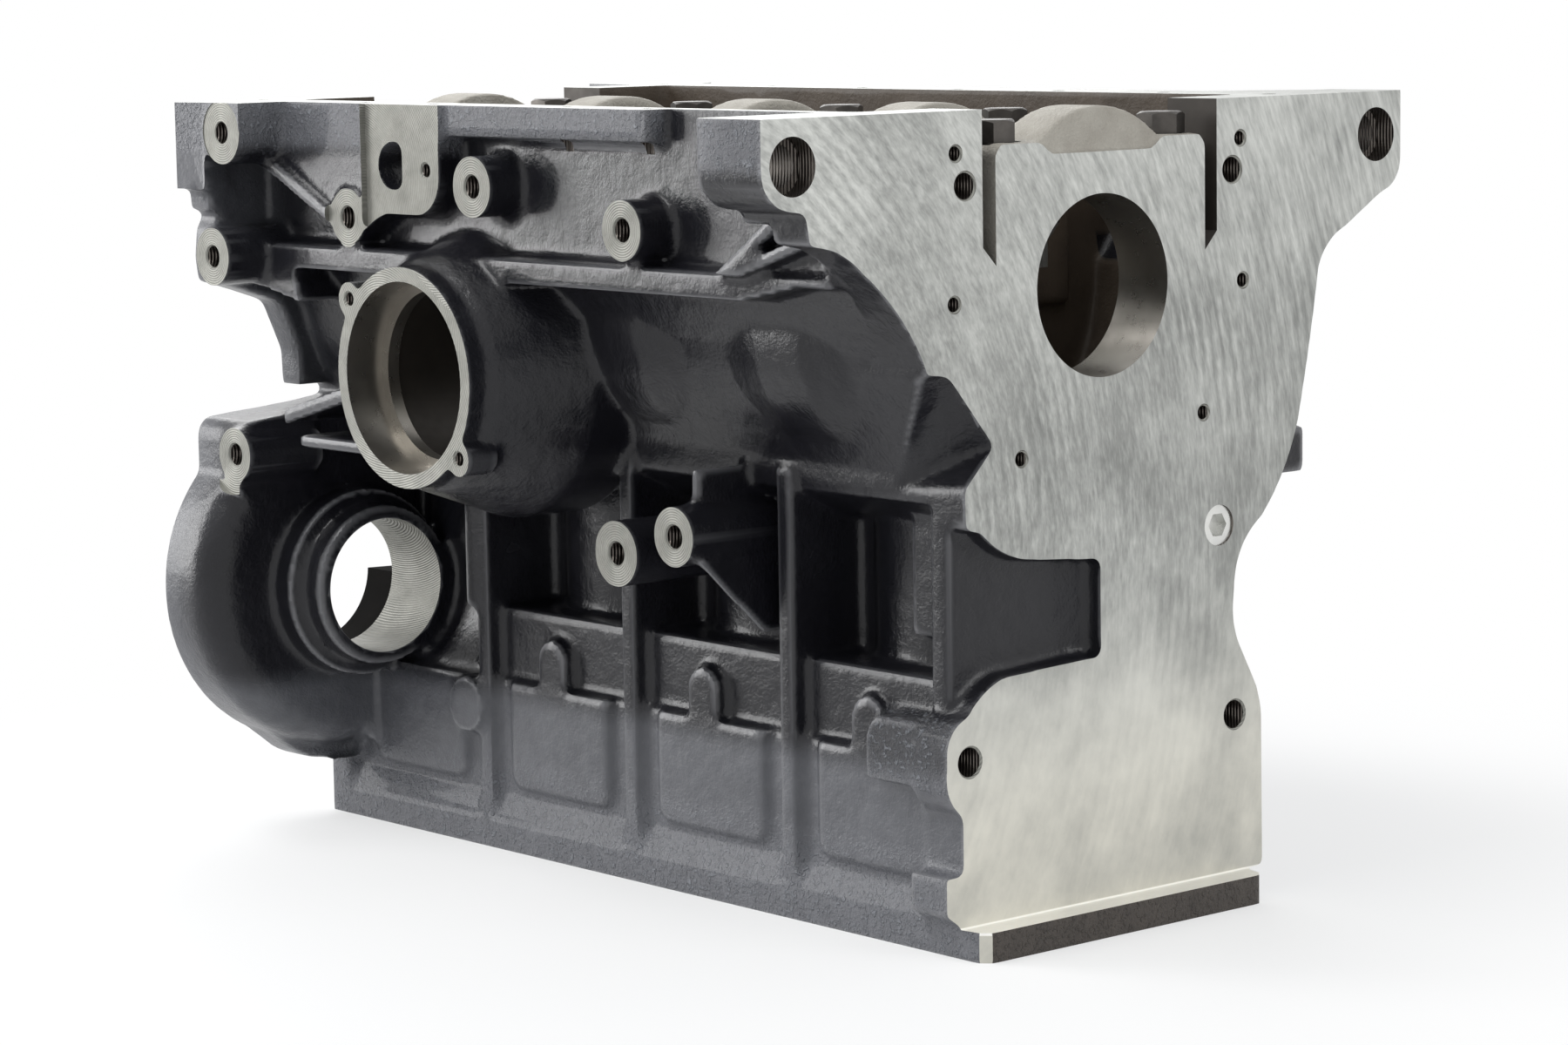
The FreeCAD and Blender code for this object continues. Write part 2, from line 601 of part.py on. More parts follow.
# Main bearing caps: square shoulders, a raised half moon in the middle, and half of the main bore
cap_start = [front_x] + [x - cap_length / 2 for x in bearing_x[1:-1]] + [gearbox_face_x - cap_length]
w = cap_half_width
h = cap_shoulder_height
c = cap_corner
m = cap_moon_half_width
cap_outline = [
    (-w, crank_height), (w, crank_height), (w, h - c), (w - c, h), (-w + c, h), (-w, h - c),
]
moon_outline = [(-m, h - 3), (m, h - 3), (m, h), (0, cap_moon_top, -m, h)]
for number, x in enumerate(cap_start):
    cap = along_x(cap_outline, x, x + cap_length)
    moon = along_x(moon_outline, x, x + cap_length)
    cap = joined([cap, moon]).cut(rod_x(0, crank_height, main_bore_radius, x - 1, x + cap_length + 1))
    cap.exportStep("parts/main_bearing_cap_%d.step" % (number + 1))

# Hexagon heads of the cap bolts
bolts = []
for x in cap_start:
    for side in (-1, 1):
        bolt_x = x + cap_length / 2
        bolt_y = side * cap_bolt_offset
        outline = [(bolt_x + a, bolt_y + b) for a, b in hexagon(cap_bolt_across_flats)]
        bolts.append(along_z(outline, h, h + cap_bolt_head_height))
Part.makeCompound(bolts).exportStep("parts/main_cap_bolts.step")

# Core plugs: discs pressed into the far jacket wall
discs = []
for x in bore_x:
    outer = core_plug_face_y - core_plug_recess
    discs.append(rod_y(x, core_plug_z, core_plug_radius, outer - core_plug_depth, outer))
Part.makeCompound(discs).exportStep("parts/core_plugs.step")

# Threaded plugs with a hexagon socket that close both ends of the oil gallery
plugs = []
for x, out in ((gearbox_face_x, -1), (front_x, 1)):
    face = x + out * gallery_plug_setback
    plug = Part.makeCylinder(gallery_seat_radius, gallery_plug_length, Vector(face, gallery_y, gallery_z),
                             Vector(out, 0, 0))
    socket = along_x([(gallery_y + a, gallery_z + b) for a, b in hexagon(gallery_socket_across_flats)],
                     face - out * overlap, face + out * gallery_socket_depth)
    plugs.append(plug.cut(socket))
Part.makeCompound(plugs).exportStep("parts/oil_gallery_plugs.step")
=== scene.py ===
import math

import bmesh
import bpy
from mathutils import Matrix, Vector


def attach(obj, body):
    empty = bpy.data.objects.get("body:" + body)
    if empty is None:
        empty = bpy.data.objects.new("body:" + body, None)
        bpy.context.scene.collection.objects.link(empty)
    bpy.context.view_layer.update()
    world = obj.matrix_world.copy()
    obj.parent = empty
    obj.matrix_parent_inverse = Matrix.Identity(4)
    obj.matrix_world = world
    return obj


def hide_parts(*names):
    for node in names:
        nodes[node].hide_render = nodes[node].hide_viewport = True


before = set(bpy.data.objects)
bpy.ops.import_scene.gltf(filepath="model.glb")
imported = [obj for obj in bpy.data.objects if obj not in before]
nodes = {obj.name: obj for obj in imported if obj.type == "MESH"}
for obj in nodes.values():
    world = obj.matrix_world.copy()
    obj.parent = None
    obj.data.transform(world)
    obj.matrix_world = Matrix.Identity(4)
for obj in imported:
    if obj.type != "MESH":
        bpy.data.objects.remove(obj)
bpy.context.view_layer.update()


# Camera and studio
# A long lens looks at the gearbox end and the pump side from a little above. Soft lamps stand round
# the block, and the background is plain white.
def placed(name, data):
    piece = bpy.data.objects.new(name, data)
    bpy.context.scene.collection.objects.link(piece)
    return piece


camera_place = (1.22433, -1.04431, 0.33790)
yaw = math.radians(49.303)
pitch = math.radians(7.429)
roll = math.radians(-0.937)

camera = placed("camera", bpy.data.cameras.new("camera"))
camera.data.lens = 97.79
camera.data.sensor_width = 36
camera.data.clip_end = 50
ahead = Vector((-math.sin(yaw) * math.cos(pitch), math.cos(yaw) * math.cos(pitch), -math.sin(pitch)))
level = ahead.cross(Vector((0, 0, 1))).normalized()
upright = level.cross(ahead).normalized()
right = level * math.cos(roll) + upright * math.sin(roll)
up = upright * math.cos(roll) - level * math.sin(roll)
turned = Matrix((right, up, -ahead)).transposed().to_4x4()
camera.matrix_world = Matrix.Translation(camera_place) @ turned
bpy.context.scene.camera = camera
bpy.context.scene.view_settings.view_transform = "Standard"


def lamp(name, place, target, size, power):
    light = bpy.data.lights.new(name, "AREA")
    light.shape = "RECTANGLE"
    light.size, light.size_y = size
    light.energy = power
    holder = placed(name, light)
    holder.location = place
    holder.rotation_euler = (Vector(target) - Vector(place)).to_track_quat("-Z", "Y").to_euler()


lamp("side_lamp", (-1.3, -0.95, 0.55), (0, -0.1, 0.12), (0.6, 1.0), 15)
lamp("back_lamp", (-1.3, 0.75, 0.95), (0, -0.05, 0.15), (1.1, 0.6), 6)
lamp("end_lamp", (1.5, 0.4, 0.9), (0.1, 0, 0.15), (0.8, 0.8), 6)
lamp("top_lamp", (-0.3, -0.7, 1.5), (0, -0.05, 0.2), (1.2, 0.4), 11)


class Value:
    """One number in a node tree, so that shader maths reads like ordinary maths."""

    def __init__(self, wires, socket):
        self.wires = wires
        self.socket = socket

    def maths(self, operation, *others):
        node = self.wires.node("ShaderNodeMath", {"operation": operation})
        for place, item in zip(node.inputs, (self, *others)):
            self.wires.feed(place, item)
        return Value(self.wires, node.outputs[0])

    def __add__(self, other):
        return self.maths("ADD", other)

    __radd__ = __add__

    def __mul__(self, other):
        return self.maths("MULTIPLY", other)

    __rmul__ = __mul__

    def __sub__(self, other):
        return self.maths("SUBTRACT", other)

    def __rsub__(self, other):
        return (self * -1) + other

    def __abs__(self):
        return self.maths("ABSOLUTE")

    def or_more(self, other):
        return self.maths("MAXIMUM", other)

    def step(self, low, high):
        """0 below low, 1 above high, smooth between."""
        node = self.wires.node("ShaderNodeMapRange", {"interpolation_type": "SMOOTHSTEP"},
                               Value=self, From_Min=low, From_Max=high)
        return Value(self.wires, node.outputs[0])


class Wires:
    """A node tree, and short ways to add to it."""

    def __init__(self, tree):
        self.tree = tree

    def node(self, kind, settings=None, **sockets):
        node = self.tree.nodes.new(kind)
        for key, item in (settings or {}).items():
            setattr(node, key, item)
        for key, item in sockets.items():
            self.feed(node.inputs[key.replace("_", " ")], item)
        return node

    def feed(self, place, item):
        if isinstance(item, Value):
            item = item.socket
        if isinstance(item, bpy.types.NodeSocket):
            self.tree.links.new(item, place)
        else:
            place.default_value = item

    def either(self, factor, first, second):
        node = self.node("ShaderNodeMixShader")
        for place, item in zip(node.inputs, (factor, first, second)):
            self.feed(place, item)
        return node.outputs[0]

    def looked_at(self):
        """1 where the camera, a gloss or a clear surface looks, 0 where only light is gathered."""
        path = self.node("ShaderNodeLightPath")
        mask = Value(self, path.outputs["Is Camera Ray"])
        for kind in ("Is Glossy Ray", "Is Transmission Ray"):
            mask = mask.or_more(Value(self, path.outputs[kind]))
        return mask


world = bpy.data.worlds.new("studio")
bpy.context.scene.world = world
world.use_nodes = True
world.node_tree.nodes.clear()
studio = Wires(world.node_tree)
soft = studio.node("ShaderNodeBackground", None, Color=(0.94, 0.97, 1, 1), Strength=0.6)
white = studio.node("ShaderNodeBackground", None, Color=(1, 1, 1, 1), Strength=1.0)
shown = studio.either(studio.looked_at(), soft.outputs[0], white.outputs[0])
studio.node("ShaderNodeOutputWorld", None, Surface=shown)


# Floor
# A plain white sheet under the block. It takes the block's shadow close by, and farther out it turns
# into the white of the background.
class Finish(Wires):
    """A material with its Principled shader, and short ways to feed it."""

    def __init__(self, name, **constants):
        self.material = bpy.data.materials.new(name)
        self.material.use_nodes = True
        super().__init__(self.material.node_tree)
        self.shader = self.tree.nodes["Principled BSDF"]
        self.give(**constants)
        self.place = self.node("ShaderNodeTexCoord").outputs["Object"]
        split = self.node("ShaderNodeSeparateXYZ", None, Vector=self.place)
        self.x, self.y, self.z = [Value(self, socket) for socket in split.outputs]

    def give(self, **sockets):
        for key, item in sockets.items():
            self.feed(self.shader.inputs[key.replace("_", " ")], item)

    def noise(self, scale, detail=3.0, roughness=0.55, place=None):
        node = self.node("ShaderNodeTexNoise", None, Vector=place or self.place, Scale=scale,
                         Detail=detail, Roughness=roughness)
        return Value(self, node.outputs["Fac"])

    def point(self, x, y, z):
        return self.node("ShaderNodeCombineXYZ", None, X=x, Y=y, Z=z).outputs[0]

    def blend(self, factor, first, second):
        node = self.node("ShaderNodeMix", {"data_type": "RGBA"})
        for place, item in ((0, factor), (6, first), (7, second)):
            self.feed(node.inputs[place], item)
        return node.outputs[2]

    def bump(self, height, distance):
        return self.node("ShaderNodeBump", None, Height=height, Distance=distance).outputs["Normal"]


reach = 9.0
floor_mesh = bpy.data.meshes.new("floor")
floor_mesh.from_pydata([(-reach, -reach, 0), (reach, -reach, 0), (reach, reach, 0), (-reach, reach, 0)],
                       [], [(0, 1, 2, 3)])
floor = placed("floor", floor_mesh)
sheet = Finish("white_floor", Base_Color=(0.88, 0.88, 0.88, 1), Roughness=0.7)
from_middle = (sheet.x * sheet.x + sheet.y * sheet.y).maths("SQRT")
glow = sheet.node("ShaderNodeEmission", None, Color=(1, 1, 1, 1), Strength=1.0)
bright = sheet.looked_at() * (0.55 + 0.45 * from_middle.step(0.22, 0.5))
sheet.feed(sheet.tree.nodes["Material Output"].inputs["Surface"],
           sheet.either(bright, sheet.shader.outputs[0], glow.outputs[0]))
floor_mesh.materials.append(sheet.material)


# Engine block
# One iron casting, painted gloss black, then milled, bored and drilled bright. It is made in that
# order here too: its holes are filled and its machined faces grow by some stock, the whole is rounded
# as a sand casting is, and each face, bore and hole is cut back to its size in millimetres.
stock = 2.5
face_x = 181.5
front_x = -193.0
rail_z = 289.5
crank_z = 227.0
ledge_z = 10.5
main_bore = 31.85
cylinder_bore = 37.5
cylinder_x = (-135, -45, 45, 135)
cap_places = ((-193, -169), (-102, -78), (-12, 12), (78, 102), (157.5, 181.5))
cap_gap = [(-50.9, crank_z), (-50.9, 236.5), (-57, 243), (-57, 300), (57, 300), (57, 243),
           (50.9, 236.5), (50.9, crank_z)]

# Water pump and breather ring, by their middle lines and radii
pump = (-80, 99)
pump_drum = 67
pump_chamber = 50
pump_bore = 26.5
breather = (-47.5, 190.5)
breather_y = -134
breather_bore = 35.5
breather_throat = 31.5

# Bolt bosses: x, z, height of the face, radius of the boss, depth of its hole
mount_y, lower_y, accessory_y, plate_y, far_y = -116, -100, -131, -112, 122
corner_boss = (-167.6, 278.0, accessory_y, 12.4, 22)
plate_boss = (-111.2, 246.2, plate_y, 10.8, 18)
side_bosses = [(-26.6, 260.3, mount_y, 11.4, 22), (60.3, 247.6, mount_y, 10.9, 22),
               (33.3, 129.5, lower_y, 12.1, 22), (66.2, 138.5, lower_y, 10.9, 22), corner_boss,
               (-176.0, 229.8, accessory_y, 11.4, 22), (-164.7, 153.1, accessory_y, 10.6, 22), plate_boss]
far_bosses = [(-120, 205, far_y, 12.0, 22), (-60, 205, far_y, 12.0, 22)]

wing_hole = (141.3, 273.8)
wing_thickness = 33
gallery = (57.6, 137.6)
gallery_seat = 7.4
coolant_y = 52
core_plug_z = 52
core_plug_radius = 16
core_plug_seat_y = 60.5
jacket_y = 65

# Every drilled hole: its mouth, the way it goes in, radius and depth
into_face, into_side, into_far, into_deck, into_rail = (-1, 0, 0), (0, 1, 0), (0, -1, 0), (0, 0, 1), (0, 0, -1)
holes = []
for side in (-1, 1):
    holes.append(((face_x, side * wing_hole[0], wing_hole[1]), into_face, 7.25, 53.5))
    holes.append(((face_x, side * 65.5, 68), into_face, 5.1, 34))
    holes.append(((face_x, side * 65, 264.2), into_face, 4.5, 12))
for y, z in ((-69.2, 275.2), (69.2, 275.2), (-70.4, 224.6), (70.4, 224.6), (50.0, 178.7), (-39.8, 169.8)):
    holes.append(((face_x, y, z), into_face, 2.5, 15))
for x, z, y, radius, depth in side_bosses:
    holes.append(((x, y, z), into_side, 4.2, depth))
for x, z, y, radius, depth in far_bosses:
    holes.append(((x, y, z), into_far, 4.2, depth))
for side in (-1, 1):
    holes.append(((breather[0] + side * 33, breather_y, breather[1] - side * 27.5), into_side, 2.5, 14))
holes.append(((-60.3, plate_y, 265.3), into_side, 2.5, 12))
for x in (-170, -90, 0, 90, 170):
    for side in (-1, 1):
        holes.append(((x, side * 50, 0), into_deck, 5.6, 78))
for x in (-182, -112, -68, 12, 58):
    holes.append(((x, -101.5, rail_z), into_rail, 2.6, 16))
for x in (-182, -112, -56, 0, 56, 112, 165):
    holes.append(((x, 102, rail_z), into_rail, 2.6, 16))


def block(solid, low, high):
    low = Vector(low) / 1000
    high = Vector(high) / 1000
    size = high - low
    place = Matrix.Translation((low + high) / 2) @ Matrix.Diagonal((size.x, size.y, size.z, 1))
    bmesh.ops.create_cube(solid, size=1, matrix=place)


def rod(solid, start, end, radius, sides=64, end_radius=None):
    start = Vector(start) / 1000
    end = Vector(end) / 1000
    way = (end - start).to_track_quat("Z", "Y").to_matrix().to_4x4()
    bmesh.ops.create_cone(solid, cap_ends=True, segments=sides, radius1=radius / 1000,
                          radius2=(radius if end_radius is None else end_radius) / 1000,
                          depth=(end - start).length, matrix=Matrix.Translation((start + end) / 2) @ way)


def skin(solid, loops):
    """Joins loops of points with faces and closes the first and the last."""
    rows = [[solid.verts.new(Vector(corner) / 1000) for corner in loop] for loop in loops]
    faces = [solid.faces.new(rows[0]), solid.faces.new(rows[-1])]
    for last, row in zip(rows, rows[1:]):
        for i in range(len(row)):
            faces.append(solid.faces.new((last[i - 1], last[i], row[i], row[i - 1])))
    bmesh.ops.recalc_face_normals(solid, faces=faces)


def prism(solid, outline, way, low, high):
    """An outline of two coordinates, drawn out along the third, which is 0, 1 or 2."""
    loops = []
    for depth in (low, high):
        loops.append([(*corner[:way], depth, *corner[way:]) for corner in outline])
    skin(solid, loops)


def circle(middle, radius, first, last, count):
    """Points on a circle, between two angles in degrees."""
    points = []
    for i in range(count):
        angle = math.radians(first + (last - first) * i / (count - 1))
        points.append((middle[0] + radius * math.cos(angle), middle[1] + radius * math.sin(angle)))
    return points


def changed(piece, kind, **settings):
    """Puts one modifier on a piece and applies it at once."""
    modifier = piece.modifiers.new("change", kind)
    for key, item in settings.items():
        setattr(modifier, key, item)
    view = bpy.context.evaluated_depsgraph_get()
    mesh = bpy.data.meshes.new_from_object(piece.evaluated_get(view))
    piece.modifiers.clear()
    piece.data = mesh


def combined(piece, operation, build, finish=None):
    """Cuts a built solid from a piece, or adds it. A cut leaves its own finish on the piece."""
    mesh = bpy.data.meshes.new("tool")
    solid = bmesh.new()
    build(solid)
    solid.to_mesh(mesh)
    solid.free()
    mesh.materials.append(finish.material if finish else None)
    tool = placed("tool", mesh)
    changed(piece, "BOOLEAN", operation=operation, object=tool, solver="MANIFOLD", material_mode="TRANSFER")
    bpy.data.objects.remove(tool)


def blank(node, name, push):
    """A copy of a CAD piece whose machined faces are moved out by push(corner), in millimetres."""
    mesh = nodes[node].data.copy()
    mesh.name = name
    shape = bmesh.new()
    shape.from_mesh(mesh)
    bmesh.ops.remove_doubles(shape, verts=shape.verts, dist=0.000001)
    for corner in shape.verts:
        corner.co += Vector(push(corner.co * 1000)) / 1000
    shape.to_mesh(mesh)
    shape.free()
    return placed(name, mesh)


def shaded(mesh, sharp_angle):
    """Smooth shading, with edges sharper than the angle kept crisp."""
    mesh.polygons.foreach_set("use_smooth", [True] * len(mesh.polygons))
    mesh.set_sharp_from_angle(angle=math.radians(sharp_angle))


def near(a, b):
    return abs(a - b) < 0.03


def block_stock(at):
    x, y, z = 0, 0, 0
    if near(at.x, face_x) and at.z > 10:
        x = stock
    if near(at.x, front_x):
        x = -stock
    if near(at.z, 0):
        z = -stock
    if near(at.z, rail_z):
        z = stock
    if near(at.z, ledge_z) and at.x > 181:
        z = stock
    if near(at.y, accessory_y) or near(at.y, breather_y) or (near(at.y, mount_y) and at.z > 230):
        y = -stock
    if (near(at.y, plate_y) and at.z > 238) or (near(at.y, lower_y) and at.z < 152):
        y = -stock
    if near(at.y, far_y) and at.x > -190:
        y = stock
    return x, y, z


# A filling ends just short of the grown face, so that the two don't share a plane
proud = stock * 0.98


def fillings(solid):
    for mouth, inward, radius, depth in holes:
        if inward == into_rail:
            depth = 8
        elif radius > 6:
            depth = wing_thickness
        else:
            depth = depth + 2
        inward = Vector(inward)
        rod(solid, Vector(mouth) - inward * proud, Vector(mouth) + inward * depth, radius + 1.2, 24)
    for x in cylinder_x:
        rod(solid, (x, 58.5, core_plug_z), (x, jacket_y - 0.02, core_plug_z), core_plug_radius + 0.7, 48)
        rod(solid, (x, 0, -proud), (x, 0, 140), cylinder_bore + 2, 48)
        for side in (-1, 1):
            block(solid, (x - 12, side * coolant_y - 5, -proud), (x + 12, side * coolant_y + 5, 62))
    for low, high in cap_places:
        reach_low = low - proud if low == front_x else low + 0.02
        reach_high = high + proud if high == face_x else high - 0.02
        top = 261.9 if -150 < low < 150 else rail_z + proud
        block(solid, (reach_low, -59, 213.2), (reach_high, 59, top))
    for x, way in ((face_x, 1), (front_x, -1)):
        rod(solid, (x + way * proud, *gallery), (x - way * 12, *gallery), 8.5, 24)


def bore_fillings(solid):
    for low, high in cap_places:
        rod(solid, (low + 0.1, 0, crank_z), (high - 0.1, 0, crank_z), 34, 48)
    rod(solid, (front_x - proud, *pump), (-170.5, *pump), pump_chamber + 1.5, 64)
    rod(solid, (-170.4, *pump), (-138.1, *pump), pump_bore + 1.5, 48)
    rod(solid, (breather[0], breather_y - proud, breather[1]), (breather[0], -117, breather[1]),
        breather_bore + 1.5, 64)


def drum_rounding(solid):
    """Part of a ring that takes the rear corner off the pump drum with a quarter round."""
    rounding = 14
    rear_x = -162
    profile = [(rear_x + 4, pump_drum - rounding), (rear_x + 4, pump_drum + 6), (rear_x - rounding, pump_drum + 6)]
    for i in range(13):
        angle = math.radians(90 * i / 12)
        profile.append((rear_x - rounding + rounding * math.sin(angle),
                        pump_drum - rounding + rounding * math.cos(angle)))
    loops = []
    for i in range(49):
        angle = math.radians(144 + (277 - 144) * i / 48)
        loops.append([(x, pump[0] + radius * math.cos(angle), pump[1] + radius * math.sin(angle))
                      for x, radius in profile])
    skin(solid, loops)


casting = blank("cylinder_block", "engine_block", block_stock)
combined(casting, "DIFFERENCE", drum_rounding)
combined(casting, "UNION", fillings)
combined(casting, "UNION", bore_fillings)
changed(casting, "REMESH", mode="VOXEL", voxel_size=0.0016)
changed(casting, "SMOOTH", factor=0.5, iterations=6)
changed(casting, "DECIMATE", ratio=0.2)

# The paint is thin and dusty on the deck foot and the rail, and thick and black elsewhere. The lower panels are
# lighter as thin dusty paint and as a painted sheen, the pump drum's flank is lighter as a painted highlight,
# convex edges are lightened as a painted highlight, and the inside of the crankcase stays raw.
paint = Finish("black_paint", Specular_IOR_Level=0.3, Coat_Weight=0.12, Coat_Roughness=0.08)
grain = paint.noise(900, 3, 0.65)
lumps = paint.noise(140, 3, 0.5)
patches = paint.noise(22, 3, 0.5)
specks = paint.noise(520, 2, 0.6).step(0.5, 0.68)
over_crank = paint.z - crank_z / 1000
from_crank = (paint.y * paint.y + over_crank * over_crank).maths("SQRT")
straight_wall = (1 - abs(paint.y).step(0.0935, 0.095)) * paint.z.step(0.236, 0.240)
round_wall = (1 - from_crank.step(0.0812, 0.0822)) * (1 - abs(paint.x).step(0.1495, 0.1505))
inside = round_wall.or_more(straight_wall) * paint.z.step(0.146, 0.148) * (1 - abs(paint.x).step(0.170, 0.172))
foot = 1 - paint.z.step(0.012, 0.040)
pad = paint.x.step(0.136, 0.139) * paint.z.step(0.056, 0.060) * (1 - paint.z.step(0.080, 0.084))
rail = paint.z.step(0.268, 0.276) * abs(paint.y).step(0.100, 0.104)
rough_cast = foot.or_more(pad).or_more(rail)
# Lower panels: lighter partly as thin dusty paint and partly as a painted sheen
panel_dust_and_sheen = (1 - paint.z.step(0.055, 0.070)) * paint.x.step(-0.19, -0.16)
# Pump drum flank: lighter as a painted grazing highlight
flank_highlight = 1 - paint.x.step(-0.196, -0.160)
# The lighter mix holds random patches and thin dusty paint, and also the painted sheen and highlight above
dust_and_sheen = (panel_dust_and_sheen * 0.55 + rough_cast * 0.25 + rail * 0.4 + flank_highlight * 0.55 + patches * 0.25 - 0.1).step(0, 1)
# Painted highlight: convex edges found by pointiness are lightened
edge_highlight = Value(paint, paint.node("ShaderNodeNewGeometry").outputs["Pointiness"]).step(0.508, 0.545)
flange_end = paint.x.step(0.1918, 0.1926)
raw = paint.blend(paint.noise(40), (0.045, 0.034, 0.026, 1), (0.11, 0.085, 0.062, 1))
thick = paint.blend(patches, (0.006, 0.006, 0.008, 1), (0.014, 0.014, 0.018, 1))
# This pale grey stands for thin dusty paint and also for the painted sheen and highlight
thin_paint_and_sheen = paint.blend(lumps, (0.11, 0.112, 0.125, 1), (0.19, 0.194, 0.21, 1))
rust = paint.blend(paint.noise(120, 4, 0.6), (0.030, 0.024, 0.020, 1), (0.085, 0.070, 0.058, 1))
coat = paint.blend(dust_and_sheen, thick, thin_paint_and_sheen)
coat = paint.blend(specks * rough_cast * 0.7, coat, (0.20, 0.21, 0.23, 1))
# The painted edge highlight is mixed in here
coat = paint.blend(edge_highlight * 0.55, coat, (0.22, 0.22, 0.23, 1))
coat = paint.blend(flange_end, coat, rust)
paint.give(
    Base_Color=paint.blend(inside, coat, raw),
    Roughness=0.16 + 0.16 * paint.noise(45) + 0.16 * dust_and_sheen + 0.3 * inside,
    Normal=paint.bump(grain * (0.3 + 1.1 * rough_cast) + lumps * 0.9 + specks * rough_cast, 0.0007),
)
casting.data.materials.clear()
casting.data.materials.append(paint.material)

# The face mill came from the pump side, so its marks are arcs about a line far out on that side.
# They fade towards the foot, which is creamier, and the middle of the face is darker. A thin band at the foot
# ledge is lightened almost to white as a painted highlight.
milled = Finish("milled_iron", Metallic=0.8)
out_y = milled.y + 0.252
out_z = milled.z - 0.131
sweep = (out_y * out_y + out_z * out_z).maths("SQRT")
around = out_z.maths("ARCTAN2", out_y)
broad = milled.noise(1, 3, 0.5, milled.point(sweep * 90, around * 9, milled.x * 100))
fine = milled.noise(1, 2, 0.6, milled.point(sweep * 800, around * 45, milled.x * 300))
cloud = milled.noise(26, 5, 0.65)
ribs = (sweep * 1280 + broad * 7 + cloud * 2).maths("SINE") * milled.noise(11, 2, 0.5).step(0.42, 0.66)
marks = 0.2 + 0.8 * milled.z.step(0.07, 0.15)
middle = milled.z.step(0.06, 0.13) * (1 - 0.5 * milled.z.step(0.18, 0.27))
# Painted highlight: the thin band at the foot ledge, lightened almost to white
ledge_highlight = milled.z.step(0.0094, 0.0098) * (1 - milled.z.step(0.0106, 0.0112))
tone = 0.66 - 0.32 * middle + (ribs * 0.09 + (fine - 0.5) * 0.6) * marks
tone = tone + (cloud - 0.5) * 0.75 + (broad - 0.5) * 0.3 + ledge_highlight
light = milled.blend(milled.z.step(0.02, 0.14), (0.72, 0.70, 0.62, 1), (0.66, 0.67, 0.64, 1))
light = milled.blend(ledge_highlight, light, (0.92, 0.91, 0.87, 1))
milled.give(
    Base_Color=milled.blend(tone.step(0, 1), (0.22, 0.225, 0.215, 1), light),
    Roughness=0.40 + 0.15 * (fine - 0.5) + 0.16 * (cloud - 0.5),
    Normal=milled.bump((ribs * 0.4 + fine) * marks + cloud * 0.15, 0.00012),
)

bored = Finish("bored_iron", Metallic=0.9)
bored.give(
    Base_Color=bored.blend(bored.noise(30, 4), (0.16, 0.145, 0.13, 1), (0.46, 0.44, 0.40, 1)),
    Roughness=0.2 + 0.2 * bored.noise(200),
)

drilled = Finish("drilled_iron", Metallic=0.8, Roughness=0.35)
thread = ((drilled.x + drilled.y) * 4200).maths("SINE")
drilled.give(
    Base_Color=drilled.blend(drilled.noise(300), (0.06, 0.05, 0.045, 1), (0.2, 0.18, 0.16, 1)),
    Normal=drilled.bump(thread, 0.0003),
)

# Painted shade: the cap slot walls and the breather throat get this dark iron, which stands for the shade in these
# narrow ways
slot_shade_iron = Finish("slot_shade_iron", Metallic=0.5)
slot_shade_iron.give(
    Base_Color=slot_shade_iron.blend(slot_shade_iron.noise(60), (0.022, 0.019, 0.016, 1), (0.06, 0.052, 0.045, 1)),
    Roughness=0.4 + 0.2 * slot_shade_iron.noise(300),
)

core_skin = Finish("core_skin", Specular_IOR_Level=0.05, Roughness=0.9)
core_skin.give(
    Base_Color=core_skin.blend(core_skin.noise(60), (0.006, 0.006, 0.006, 1), (0.014, 0.013, 0.012, 1)),
)

# A spot facer leaves fine rings about the middle of each boss
faced = Finish("faced_iron", Metallic=0.4)
to_centre = None
for x, z, y, radius, depth in side_bosses + far_bosses:
    off_x = faced.x - x / 1000
    off_z = faced.z - z / 1000
    away = (off_x * off_x + off_z * off_z).maths("SQRT")
    to_centre = away if to_centre is None else to_centre.maths("MINIMUM", away)
tool_rings = (to_centre * 7000).maths("SINE")
speckle = faced.noise(120, 5, 0.65)
faced.give(
    Base_Color=faced.blend(speckle * 0.8 + tool_rings * 0.12, (0.13, 0.13, 0.115, 1), (0.42, 0.415, 0.375, 1)),
    Roughness=0.46 + 0.1 * speckle + 0.05 * tool_rings,
    Normal=faced.bump(tool_rings, 0.00008),
)


def milled_faces(solid):
    block(solid, (face_x, -200, ledge_z), (200, 200, 320))
    block(solid, (-220, -200, -5), (front_x, 95, 320))
    block(solid, (-220, 95.01, -5), (front_x, 123, 271.5))
    block(solid, (-220, 123.01, -5), (front_x, 200, 320))


def level_faces(solid):
    block(solid, (-300, -200, rail_z), (300, 200, 330))
    block(solid, (-300, -200, -10), (300, 200, 0))


def side_faces(solid):
    block(solid, (-100, -145, 135), (5, breather_y, 245))
    block(solid, (-98, -133, 243), (-48, plate_y, 300))
    block(solid, (-123.5, -133, 231.8), (-98.01, plate_y, 300))


def corner_pad(solid):
    outline = [(-200, -137.5), (-181, -130.9), (-150, -130.9), (-150, -150), (-200, -150)]
    prism(solid, outline, 2, 243, 300)


def boss_faces(solid):
    for boss in side_bosses:
        x, z, y, radius, depth = boss
        if boss == corner_boss:
            rod(solid, (x, y + 0.4, z), (x, y - 8, z), radius, 64)
        elif boss != plate_boss:
            rod(solid, (x, y, z), (x, y - 8, z), radius + 5, 48)
    for x, z, y, radius, depth in far_bosses:
        rod(solid, (x, y, z), (x, y + 8, z), radius + 5, 48)


